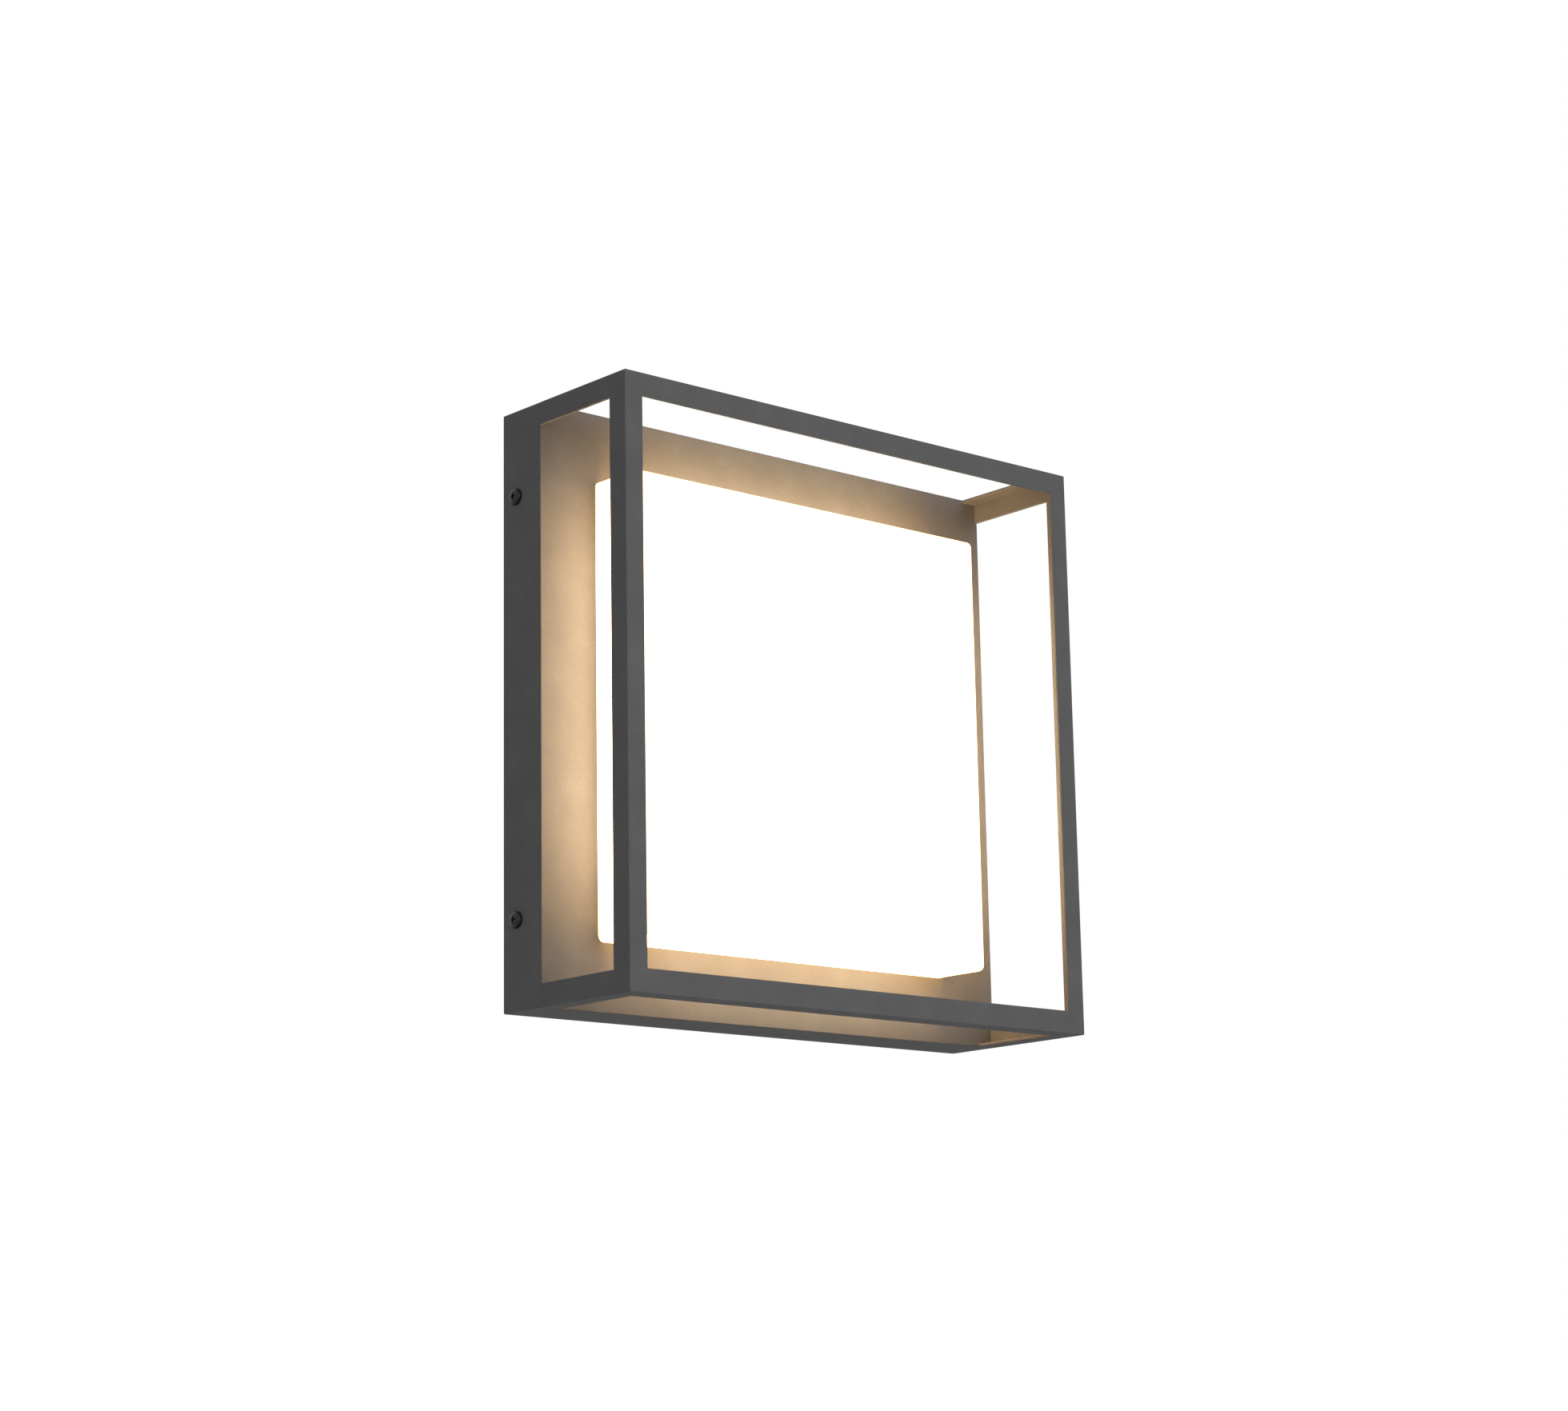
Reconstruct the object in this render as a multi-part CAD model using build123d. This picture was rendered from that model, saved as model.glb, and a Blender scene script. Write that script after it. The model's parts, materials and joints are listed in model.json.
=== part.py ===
from build123d import *
import math
import os

os.makedirs("parts", exist_ok=True)

# Square surface-mounted outdoor light: a tray, an opal diffuser block and an open cage of angle bars.
# All sizes are in millimetres. X is the width and Z the height, seen from the front.
# The wall is the plane Y = 0 and the light stands out of it towards -Y.
# "Depth" is the distance from the wall, so a depth of 25 is Y = -25.
# The origin is the middle of the bracket's back face, in the wall plane.

# Outer form
lamp_width = 250.0
lamp_height = 250.0
lamp_depth = 81.0
tray_depth = 25.0
sheet = 1.5              # wall of the folded tray
tray_edge = 0.6          # rounding of the tray's four corner folds

# Cage of angle section, flush with the tray's outer faces
bar_wall = 1.5
post_face = 9.0          # width of a post from the front, and of a corner bar from above
rail_face = 9.8          # height of a rail from the front, and of a corner bar from the side
bar_return = 10.5        # leg of the front frame that runs back towards the wall
bar_edge = 0.6           # rounding of each bar's outer edge

# Opal diffuser block
diffuser_margin = 29.0   # from the tray's outer face to the block, on all four sides
diffuser_rise = 26.0     # from the front plate to the block's front face
diffuser_wall = 2.0
diffuser_corner = 2.5
diffuser_edge = 2.0      # rounding of the front edge
flange_rim = 12.0        # flange of the diffuser, behind the plate
flange_wall = 2.0
flange_corner = 4.0

# Gaskets
diffuser_gasket_thickness = 1.0
diffuser_gasket_width = 4.7
cover_gasket_thickness = 1.5

# Gear pan: cast heat spreader that clamps the diffuser flange and holds the electrical parts
pan_floor = 2.0
pan_wall = 3.0
pan_wall_inset = 8.5     # from the edge of the pan's floor to its wall
pan_corner = 1.0         # radius of the wall's inner corners
lug_width = 10.0
lug_outer = 1.0          # from the edge of the pan's floor to the outer side of a lug
cover_thickness = 1.0
cover_depth = 4.0        # from the wall to the back of the cover
cover_thread = 6.0       # length of each cover screw inside its lug
cover_hole_spare = 2.0   # depth of a lug's hole past the screw's tip

# Wall bracket
bracket_sheet = 1.5
bracket_height = 200.0
bracket_flange = 14.0
bracket_bend = 1.0       # inner radius of the bends
window_width = 80.0
window_height = 60.0
window_corner = 8.0
wall_slot_inset = 10.2   # from the outside of the flange to the middle of a slot
wall_slot_spacing = 120.0
wall_slot_width = 5.5
wall_slot_length = 9.0

# Side screws, which clamp the tray to the bracket's flanges
side_screw_depth = 9.0
side_screw_inset = 37.0  # from the top and bottom faces
side_screw_radius = 2.0
side_screw_head_radius = 3.5
side_screw_head = 2.2
side_nut_width = 7.0
side_nut_height = 3.0
side_screw_past_nut = 1.4
side_nut_chamfer = 0.55

# Small screws
small_radius = 1.5
small_head_radius = 2.75
small_head = 2.0
earth_screw_radius = 2.0
earth_head_radius = 3.5
earth_head = 2.4
recess_width = 0.8
recess_depth = 1.0
head_round = 0.4         # rounding of a screw head, as a share of its height
tip_cover = 0.4          # left of the pan's floor past a screw's tip

# Weld studs and nuts of the gear pan
stud_inset = 3.5         # from the edge of the diffuser flange
stud_offset = 50.0       # along each side, from its middle
nut_across_flats = 5.5
nut_height = 2.4
stud_past_nut = 1.5

# LED board
board_gap = 6.0          # from the diffuser's inner wall to the board
board_thickness = 1.6
board_corner = 3.0
board_screw_inset = 8.0
chips_per_side = 6
chip_inset = 18.0        # from the board's edge to the outer row of chips
chip_size = 3.0
chip_height = 0.7
connector_length = 8.0
connector_width = 12.0
connector_height = 4.0
connector_edge = 0.4
lead_window_length = 17.0
lead_window_width = 14.0
lead_window_corner = 3.0
lead_window_inset = 12.5  # from the board's edge to the middle of the window

# LED driver
driver_length = 100.0
driver_width = 42.0
driver_height = 12.0
driver_level = 35.0
driver_reach = 15.5      # from the driver's end to the middle of the lead window
driver_edge = 2.0
ear_length = 8.0
ear_width = 16.0
ear_thickness = 2.0
port_spacing = 10.0

# Terminal block, its left end in line with the driver's
terminal_level = -32.0
terminal_length = 24.0
terminal_height = 10.0
pole_pitch = 10.0
pole_edge = 5.5
terminal_edge = 0.6
insert_width = 4.4
insert_length = 16.0
insert_bore = 1.2
clamp_screw_pitch = 9.0
clamp_screw_length = 3.4

# Earth point on the gear pan
earth_offset = 12.0      # from the middle of the terminal block to the left
earth_inset = 29.5       # from the outer side of the pan's lower wall
earth_boss_radius = 5.0
earth_boss_height = 4.0
tag_thickness = 0.8
tag_radius = 4.0
tag_reach = 12.0
barrel_length = 6.0
barrel_radius = 1.6
barrel_seat = 1.0        # length of the tag's strip under the barrel

# Leads
lead_radius = 1.0
lead_inside = 4.0        # length of a lead inside a port
connector_inside = 2.0
port_spare = 1.0         # depth of a port past the end of its lead
arc_share = 0.45         # share of the shorter run that a lead's arc takes
live_reach = 14.0        # how far a lead stands out to the left of the driver or terminal block
neutral_reach = 20.0
earth_reach = 18.0
led_lead_spread = 7.0    # between the two LED leads in the lead window, along X
led_lead_spacing = 6.0   # between them at the connector, along Z

# Cable grommet
grommet_hole = 10.0
grommet_flange = 13.0
grommet_bore = 4.5
grommet_lip = 1.5

# Clearances
seat_gap = 0.3           # between the bracket and the light that slides off it
round_gap = 0.3          # around a screw or stud in a clearance hole
thread_gap = 0.1         # around a screw in its thread
lead_gap = 0.2           # around a lead in a port
block_gap = 0.3          # around the diffuser block in the plate's cut-out
insert_gap = 0.1
gasket_gap = 0.1         # between the cover's gasket and the screw pads beside it

# Worked-out places
half_width = lamp_width / 2
half_height = lamp_height / 2
plate_back = tray_depth - sheet
diffuser_width = lamp_width - 2 * diffuser_margin
diffuser_height = lamp_height - 2 * diffuser_margin
flange_width = diffuser_width + 2 * flange_rim
flange_height = diffuser_height + 2 * flange_rim
flange_front = plate_back - diffuser_gasket_thickness
flange_back = flange_front - flange_wall
pan_back = flange_back - pan_floor
cover_front = cover_depth + cover_thickness
pan_rim = cover_front + cover_gasket_thickness
wall_width = flange_width - 2 * pan_wall_inset
wall_height = flange_height - 2 * pan_wall_inset
board_width = diffuser_width - 2 * (diffuser_wall + board_gap)
board_height = diffuser_height - 2 * (diffuser_wall + board_gap)
board_front = flange_back + board_thickness
bracket_half = half_width - sheet - seat_gap
wall_slot_x = bracket_half - wall_slot_inset
side_screw_level = half_height - side_screw_inset
lead_window_x = board_width / 2 - lead_window_inset
driver_right = lead_window_x - driver_reach
driver_left = driver_right - driver_length
terminal_left = driver_left
terminal_right = terminal_left + terminal_length
terminal_x = (terminal_left + terminal_right) / 2
earth_x = terminal_x - earth_offset
earth_level = earth_inset - wall_height / 2
lead_depth = pan_back - terminal_height / 2
lug_reach = pan_wall_inset - lug_outer
cover_screw_x = wall_width / 2 + lug_reach / 2
cover_screw_z = wall_height / 2 + lug_reach / 2
pad_radius = lug_reach / 2 - gasket_gap
connector_depth = board_front + connector_height / 2
port_length = lead_inside + port_spare


def block(x0, x1, d0, d1, z0, z1):
    # box between two corners, where d0 and d1 are depths
    middle = Pos((x0 + x1) / 2, -(d0 + d1) / 2, (z0 + z1) / 2)
    return middle * Box(x1 - x0, d1 - d0, z1 - z0)


def slab(width, height, corner, d0, d1, x=0.0, z=0.0):
    # plate with rounded corners, square to the depth
    outline = Plane.XZ.offset(d0) * Pos(x, z) * RectangleRounded(width, height, corner)
    return extrude(outline, amount=d1 - d0)


def disc(x, z, radius, d0, d1):
    # round bar along the depth
    return extrude(Plane.XZ.offset(d0) * Pos(x, z) * Circle(radius), amount=d1 - d0)


def cross_bar(x0, x1, depth, z, radius):
    # round bar along the width
    return Pos((x0 + x1) / 2, -depth, z) * Rot(0, 90, 0) * Cylinder(radius, x1 - x0)


def placed(shape, x, depth, z, towards):
    # shape modelled along its own Z axis, set down with that axis pointing towards a direction
    return Plane(origin=(x, -depth, z), z_dir=towards).location * shape


def screw(radius, length, head_radius, head_height):
    # head above its own XY plane, shank below it
    body = Pos(0, 0, head_height / 2) * Cylinder(head_radius, head_height)
    body = fillet(body.edges().sort_by(Axis.Z)[-1], head_height * head_round)
    body += Pos(0, 0, -length / 2) * Cylinder(radius, length)
    for turn in (0, 90):
        body -= Pos(0, 0, head_height) * Rot(0, 0, turn) * Box(head_radius, recess_width, 2 * recess_depth)
    return body


def hex_nut(across_flats, height, hole):
    outline = RegularPolygon(across_flats / 2, 6, major_radius=False)
    return extrude(outline, amount=height) - Pos(0, 0, height / 2) * Cylinder(hole, height)


def square_nut(width, height, hole):
    body = Pos(0, 0, height / 2) * Box(width, width, height)
    body = chamfer(body.edges().filter_by(Axis.Z), side_nut_chamfer)
    return body - Pos(0, 0, height / 2) * Cylinder(hole, height)


def corners(x, z):
    return [(-x, -z), (x, -z), (-x, z), (x, z)]


def in_quadrant(shape, side, level):
    # shape modelled at the right and top, mirrored to the side and level asked for
    if side < 0:
        shape = mirror(shape, about=Plane.YZ)
    if level < 0:
        shape = mirror(shape, about=Plane.XY)
    return shape


def outer_edge(shape, axis, reach):
    # the edge along an axis that lies furthest out by the measure given
    return max(shape.edges().filter_by(axis), key=lambda edge: reach(edge.center()))


def group(solids):
    return Compound(children=[Solid(s.solids()[0].wrapped) for s in solids])


stud_x = flange_width / 2 - stud_inset
stud_z = flange_height / 2 - stud_inset
stud_places = [(side * stud_x, along * stud_offset) for side in (-1, 1) for along in (-1, 1)]
stud_places += [(along * stud_offset, side * stud_z) for side in (-1, 1) for along in (-1, 1)]
cover_screw_places = corners(cover_screw_x, cover_screw_z)
cover_screw_places += [(-cover_screw_x, 0), (cover_screw_x, 0), (0, -cover_screw_z), (0, cover_screw_z)]
board_screw_places = corners(board_width / 2 - board_screw_inset, board_height / 2 - board_screw_inset)
board_screw_places += [(0, 0)]
driver_screw_places = [
    (driver_left - ear_length / 2, driver_level), (driver_right + ear_length / 2, driver_level)
]
side_places = [(side, level) for side in (-1, 1) for level in (-1, 1)]


def housing_tray():
    body = block(-half_width, half_width, 0, tray_depth, -half_height, half_height)
    body = fillet(body.edges().filter_by(Axis.Y), tray_edge)
    body -= block(
        -half_width + sheet, half_width - sheet, 0, plate_back, -half_height + sheet, half_height - sheet
    )
    body -= slab(
        diffuser_width + 2 * block_gap, diffuser_height + 2 * block_gap, diffuser_corner + block_gap,
        plate_back, tray_depth
    )
    for side, level in side_places:
        outside = side * half_width
        inside = side * (half_width - sheet)
        body -= cross_bar(
            min(outside, inside), max(outside, inside), side_screw_depth, level * side_screw_level,
            side_screw_radius + round_gap
        )
    return body


def corner_bar(side, level):
    back = tray_depth
    front = lamp_depth - bar_return
    body = block(half_width - bar_wall, half_width, back, front, half_height - rail_face, half_height)
    body += block(half_width - post_face, half_width, back, front, half_height - bar_wall, half_height)
    body = fillet(outer_edge(body, Axis.Y, lambda point: point.X + point.Z), bar_edge)
    return in_quadrant(body, side, level)


def mitred(body, outline):
    # keeps what lies inside an outline drawn in the front plane
    wedge = Plane.XZ.offset(lamp_depth - 2 * bar_return) * make_face(Polyline(*outline, close=True))
    return body & extrude(wedge, amount=3 * bar_return)


# The mitres run from the frame's outer corners through its inner corners.
mitre_x = half_width - 2 * post_face
mitre_z = half_height - 2 * rail_face


def front_post(side):
    face_back = lamp_depth - bar_wall
    return_back = lamp_depth - bar_return
    body = block(half_width - post_face, half_width, face_back, lamp_depth, -half_height, half_height)
    body += block(half_width - bar_wall, half_width, return_back, lamp_depth, -half_height, half_height)
    body = fillet(outer_edge(body, Axis.Z, lambda point: point.X - point.Y), bar_edge)
    outline = [
        (half_width, -half_height), (half_width, half_height), (mitre_x, mitre_z), (mitre_x, -mitre_z)
    ]
    return in_quadrant(mitred(body, outline), side, 1)


def front_rail(level):
    face_back = lamp_depth - bar_wall
    return_back = lamp_depth - bar_return
    body = block(-half_width, half_width, face_back, lamp_depth, half_height - rail_face, half_height)
    body += block(-half_width, half_width, return_back, lamp_depth, half_height - bar_wall, half_height)
    body = fillet(outer_edge(body, Axis.X, lambda point: point.Z - point.Y), bar_edge)
    outline = [
        (-half_width, half_height), (half_width, half_height), (mitre_x, mitre_z), (-mitre_x, mitre_z)
    ]
    return in_quadrant(mitred(body, outline), 1, level)


def diffuser():
    front = tray_depth + diffuser_rise
    body = slab(diffuser_width, diffuser_height, diffuser_corner, flange_back, front)
    body = fillet(body.edges().group_by(Axis.Y)[0], diffuser_edge)
    body += slab(flange_width, flange_height, flange_corner, flange_back, flange_front)
    inside_width = diffuser_width - 2 * diffuser_wall
    inside_height = diffuser_height - 2 * diffuser_wall
    inside_corner = diffuser_corner - diffuser_wall
    body -= slab(inside_width, inside_height, inside_corner, flange_back, front - diffuser_wall)
    for x, z in stud_places:
        body -= disc(x, z, small_radius + round_gap, flange_back, flange_front)
    return body


def diffuser_gasket():
    inner_width = diffuser_width + 2 * block_gap
    inner_height = diffuser_height + 2 * block_gap
    corner = diffuser_corner + block_gap
    rim = 2 * diffuser_gasket_width
    body = slab(
        inner_width + rim, inner_height + rim, corner + diffuser_gasket_width, flange_front, plate_back
    )
    return body - slab(inner_width, inner_height, corner, flange_front, plate_back)


def pan_studs():
    tip = pan_back - nut_height - stud_past_nut
    return group([disc(x, z, small_radius, tip, plate_back) for x, z in stud_places])


def pan_nuts():
    nut = hex_nut(nut_across_flats, nut_height, small_radius + thread_gap)
    return group([placed(nut, x, pan_back, z, (0, 1, 0)) for x, z in stud_places])


def gear_pan():
    body = slab(flange_width, flange_height, flange_corner, pan_back, flange_back)
    body += slab(wall_width, wall_height, pan_corner + pan_wall, pan_rim, pan_back)
    body -= slab(wall_width - 2 * pan_wall, wall_height - 2 * pan_wall, pan_corner, pan_rim, pan_back)
    root_x = wall_width / 2 - pan_wall / 2
    root_z = wall_height / 2 - pan_wall / 2
    tip_x = wall_width / 2 + lug_reach
    tip_z = wall_height / 2 + lug_reach
    half_lug = lug_width / 2
    for side, level in side_places:
        body += in_quadrant(block(root_x, tip_x, pan_rim, pan_back, root_z, tip_z), side, level)
    for side in (-1, 1):
        body += in_quadrant(block(root_x, tip_x, pan_rim, pan_back, -half_lug, half_lug), side, 1)
        body += in_quadrant(block(-half_lug, half_lug, pan_rim, pan_back, root_z, tip_z), 1, side)
    for x, z in cover_screw_places:
        body += disc(x, z, pad_radius, cover_front, pan_rim)
    body += disc(earth_x, earth_level, earth_boss_radius, pan_back - earth_boss_height, pan_back)
    for x, z in cover_screw_places:
        hole_end = cover_front + cover_thread + cover_hole_spare
        body -= disc(x, z, small_radius + thread_gap, cover_front, hole_end)
    for x, z in stud_places:
        body -= disc(x, z, small_radius + round_gap, pan_back, flange_back)
    for x, z in board_screw_places + driver_screw_places + [(terminal_x, terminal_fixing_level)]:
        body -= disc(x, z, small_radius + thread_gap, pan_back, flange_back)
    body -= disc(
        earth_x, earth_level, earth_screw_radius + thread_gap, pan_back - earth_boss_height, flange_back
    )
    body -= slab(
        lead_window_length, lead_window_width, lead_window_corner, pan_back, flange_back, x=lead_window_x
    )
    return body


def led_board():
    body = slab(board_width, board_height, board_corner, flange_back, board_front)
    body -= slab(
        lead_window_length, lead_window_width, lead_window_corner, flange_back, board_front, x=lead_window_x
    )
    for x, z in board_screw_places:
        body -= disc(x, z, small_radius + thread_gap, flange_back, board_front)
    return body


def led_chips():
    step_x = (board_width - 2 * chip_inset) / (chips_per_side - 1)
    step_z = (board_height - 2 * chip_inset) / (chips_per_side - 1)
    solids = []
    for column in range(chips_per_side):
        for row in range(chips_per_side):
            x = -board_width / 2 + chip_inset + column * step_x
            z = -board_height / 2 + chip_inset + row * step_z
            solids.append(block(
                x - chip_size / 2, x + chip_size / 2, board_front, board_front + chip_height,
                z - chip_size / 2, z + chip_size / 2
            ))
    return group(solids)


def board_screws():
    length = board_thickness + pan_floor - tip_cover
    part = screw(small_radius, length, small_head_radius, small_head)
    return group([placed(part, x, board_front, z, (0, -1, 0)) for x, z in board_screw_places])


def board_connector():
    right = lead_window_x - lead_window_length / 2 - thread_gap
    left = right - connector_length
    body = block(
        left, right, board_front, board_front + connector_height, -connector_width / 2, connector_width / 2
    )
    body = chamfer(body.edges().group_by(Axis.Y)[0], connector_edge)
    for z in (-led_lead_spacing / 2, led_lead_spacing / 2):
        port_end = right - connector_inside - port_spare
        body -= cross_bar(port_end, right, connector_depth, z, lead_radius + lead_gap)
    return body


driver_low = driver_level - port_spacing / 2
driver_high = driver_level + port_spacing / 2


def led_driver():
    back = pan_back - driver_height
    half = driver_width / 2
    body = block(driver_left, driver_right, back, pan_back, driver_level - half, driver_level + half)
    body = fillet(body.edges().filter_by(Axis.X).sort_by(Axis.Y)[-2:], driver_edge)
    for x, z in driver_screw_places:
        body += block(
            x - ear_length / 2, x + ear_length / 2, pan_back - ear_thickness, pan_back,
            z - ear_width / 2, z + ear_width / 2
        )
        body -= disc(x, z, small_radius + thread_gap, pan_back - ear_thickness, pan_back)
    for z in (driver_low, driver_high):
        body -= cross_bar(driver_left, driver_left + port_length, lead_depth, z, lead_radius + lead_gap)
        body -= cross_bar(driver_right - port_length, driver_right, lead_depth, z, lead_radius + lead_gap)
    return body


def driver_screws():
    part = screw(small_radius, ear_thickness + pan_floor - tip_cover, small_head_radius, small_head)
    seat = pan_back - ear_thickness
    return group([placed(part, x, seat, z, (0, 1, 0)) for x, z in driver_screw_places])


pole_levels = [terminal_level + step * pole_pitch for step in (1, 0, -1)]
terminal_fixing_level = terminal_level - pole_pitch / 2
terminal_back = pan_back - terminal_height
clamp_screw_xs = [terminal_x - clamp_screw_pitch / 2, terminal_x + clamp_screw_pitch / 2]


def terminal_block():
    half = pole_pitch + pole_edge
    body = block(
        terminal_left, terminal_right, terminal_back, pan_back, terminal_level - half, terminal_level + half
    )
    body = chamfer(body.edges().group_by(Axis.Y)[-1], terminal_edge)
    channel = insert_width / 2 + insert_gap
    for z in pole_levels:
        body -= block(
            terminal_left, terminal_right, lead_depth - channel, lead_depth + channel,
            z - channel, z + channel
        )
        for x in clamp_screw_xs:
            body -= disc(x, z, small_radius + round_gap, terminal_back, lead_depth)
    body -= disc(terminal_x, terminal_fixing_level, small_radius + thread_gap, terminal_back, pan_back)
    return body


def terminal_inserts():
    solids = []
    for z in pole_levels:
        body = block(
            terminal_x - insert_length / 2, terminal_x + insert_length / 2,
            lead_depth - insert_width / 2, lead_depth + insert_width / 2,
            z - insert_width / 2, z + insert_width / 2
        )
        body -= cross_bar(
            terminal_x - insert_length / 2, terminal_x + insert_length / 2, lead_depth, z, insert_bore
        )
        for x in clamp_screw_xs:
            body -= disc(x, z, small_radius + thread_gap, lead_depth - insert_width / 2, lead_depth)
        solids.append(body)
    return group(solids)


def terminal_clamp_screws():
    tip = lead_depth - insert_bore
    solids = []
    for z in pole_levels:
        for x in clamp_screw_xs:
            body = disc(x, z, small_radius, tip - clamp_screw_length, tip)
            body -= block(
                x - small_radius, x + small_radius, tip - clamp_screw_length,
                tip - clamp_screw_length + recess_depth, z - recess_width / 2, z + recess_width / 2
            )
            solids.append(body)
    return group(solids)


def terminal_fixing_screw():
    part = screw(small_radius, terminal_height + pan_floor - tip_cover, small_head_radius, small_head)
    return placed(part, terminal_x, terminal_back, terminal_fixing_level, (0, 1, 0))


boss_top = pan_back - earth_boss_height
tag_top = boss_top - tag_thickness
barrel_right = earth_x - tag_reach + barrel_length
barrel_left = earth_x - tag_reach


def earth_tag():
    body = disc(earth_x, earth_level, tag_radius, tag_top, boss_top)
    body += block(
        barrel_right - barrel_seat, earth_x, tag_top, boss_top,
        earth_level - barrel_radius, earth_level + barrel_radius
    )
    body += cross_bar(barrel_left, barrel_right, lead_depth, earth_level, barrel_radius)
    body -= cross_bar(
        barrel_left, barrel_left + lead_inside, lead_depth, earth_level, lead_radius + lead_gap
    )
    return body - disc(earth_x, earth_level, earth_screw_radius + thread_gap, tag_top, boss_top)


def earth_screw():
    length = tag_thickness + earth_boss_height + pan_floor - tip_cover
    part = screw(earth_screw_radius, length, earth_head_radius, earth_head)
    return placed(part, earth_x, tag_top, earth_level, (0, 1, 0))


def lead(name, points):
    # insulated wire along straight runs joined by tangent arcs, as large as the runs allow
    runs = [(b - a).length for a, b in zip(points, points[1:])]
    radii = []
    for i in range(1, len(points) - 1):
        turn = (points[i] - points[i - 1]).get_angle(points[i + 1] - points[i])
        radii.append(arc_share * min(runs[i - 1], runs[i]) / math.tan(math.radians(turn / 2)))
    path = FilletPolyline(*points, radius=radii)
    start = Plane(origin=path @ 0, z_dir=path % 0)
    body = sweep(start * Circle(lead_radius), path=path)
    expected = math.pi * lead_radius ** 2 * path.length
    print(name, "length", round(path.length, 1), "radii", [round(r, 1) for r in radii],
          "volume / section x length", round(body.volume / expected, 4))
    return body


def at(x, depth, z):
    return Vector(x, -depth, z)


insert_left = terminal_x - insert_length / 2


def live_lead():
    turn = driver_left - live_reach
    return lead("live_lead", [
        at(insert_left + lead_inside, lead_depth, pole_levels[0]),
        at(turn, lead_depth, pole_levels[0]),
        at(turn, lead_depth, driver_low),
        at(driver_left + lead_inside, lead_depth, driver_low),
    ])


def neutral_lead():
    turn = driver_left - neutral_reach
    return lead("neutral_lead", [
        at(insert_left + lead_inside, lead_depth, pole_levels[1]),
        at(turn, lead_depth, pole_levels[1]),
        at(turn, lead_depth, driver_high),
        at(driver_left + lead_inside, lead_depth, driver_high),
    ])


def earth_lead():
    turn = terminal_left - earth_reach
    return lead("earth_lead", [
        at(insert_left + lead_inside, lead_depth, pole_levels[2]),
        at(turn, lead_depth, pole_levels[2]),
        at(turn, lead_depth, earth_level),
        at(barrel_left + lead_inside, lead_depth, earth_level),
    ])


def led_lead(name, start_level, side, end_level):
    turn = lead_window_x + side * led_lead_spread / 2
    end = lead_window_x - lead_window_length / 2 - connector_inside
    return lead(name, [
        at(driver_right - lead_inside, lead_depth, start_level),
        at(turn, lead_depth, start_level),
        at(turn, lead_depth, end_level),
        at(turn, connector_depth, end_level),
        at(end, connector_depth, end_level),
    ])


def led_lead_positive():
    return led_lead("led_lead_positive", driver_low, -1, led_lead_spacing / 2)


def led_lead_negative():
    return led_lead("led_lead_negative", driver_high, 1, -led_lead_spacing / 2)


def rear_cover():
    width = wall_width + 2 * lug_reach
    height = wall_height + 2 * lug_reach
    body = slab(width, height, pan_wall, cover_depth, cover_front)
    body -= disc(0, 0, grommet_hole, cover_depth, cover_front)
    for x, z in cover_screw_places:
        body -= disc(x, z, small_radius + round_gap, cover_depth, cover_front)
    return body


def cover_gasket():
    inner_width = wall_width - 2 * pan_wall
    inner_height = wall_height - 2 * pan_wall
    body = slab(wall_width, wall_height, pan_corner + pan_wall, cover_front, pan_rim)
    return body - slab(inner_width, inner_height, pan_corner, cover_front, pan_rim)


def cover_screws():
    part = screw(small_radius, cover_thickness + cover_thread, small_head_radius, small_head)
    return group([placed(part, x, cover_depth, z, (0, 1, 0)) for x, z in cover_screw_places])


def cable_grommet():
    body = disc(0, 0, grommet_hole - thread_gap, cover_depth, cover_front)
    body += disc(0, 0, grommet_flange, cover_depth - grommet_lip, cover_depth)
    body += disc(0, 0, grommet_flange, cover_front, cover_front + grommet_lip)
    body -= disc(0, 0, grommet_bore, cover_depth - grommet_lip, cover_front + grommet_lip)
    return body


def wall_bracket():
    half = bracket_height / 2
    body = block(-bracket_half, bracket_half, 0, bracket_flange, -half, half)
    body = fillet(body.edges().filter_by(Axis.Z).sort_by(Axis.Y)[-2:], bracket_bend + bracket_sheet)
    inside = bracket_half - bracket_sheet
    hollow = block(-inside, inside, bracket_sheet, bracket_flange, -half, half)
    body -= fillet(hollow.edges().filter_by(Axis.Z).sort_by(Axis.Y)[-2:], bracket_bend)
    body -= slab(window_width, window_height, window_corner, 0, bracket_sheet)
    for x, z in corners(wall_slot_x, wall_slot_spacing / 2):
        outline = Plane.XZ * Pos(x, z) * SlotOverall(wall_slot_length, wall_slot_width)
        body -= extrude(outline, amount=bracket_sheet)
    slot = side_screw_radius + round_gap
    for level in (-side_screw_level, side_screw_level):
        body -= cross_bar(-bracket_half, bracket_half, side_screw_depth, level, slot)
        body -= block(
            -bracket_half, bracket_half, side_screw_depth, bracket_flange, level - slot, level + slot
        )
    return body - disc(wall_slot_x, 0, earth_screw_radius + thread_gap, 0, bracket_sheet)


def bracket_earth_screw():
    part = screw(earth_screw_radius, bracket_sheet - thread_gap, earth_head_radius, earth_head)
    return placed(part, wall_slot_x, bracket_sheet, 0, (0, -1, 0))


def side_screws():
    nut_inside = bracket_half - bracket_sheet - seat_gap - side_nut_height
    length = half_width - nut_inside + side_screw_past_nut
    part = screw(side_screw_radius, length, side_screw_head_radius, side_screw_head)
    return group([
        placed(part, side * half_width, side_screw_depth, level * side_screw_level, (side, 0, 0))
        for side, level in side_places
    ])


def side_nuts():
    outside = bracket_half - bracket_sheet - seat_gap
    nut = square_nut(side_nut_width, side_nut_height, side_screw_radius + thread_gap)
    return group([
        placed(nut, side * outside, side_screw_depth, level * side_screw_level, (-side, 0, 0))
        for side, level in side_places
    ])


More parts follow.
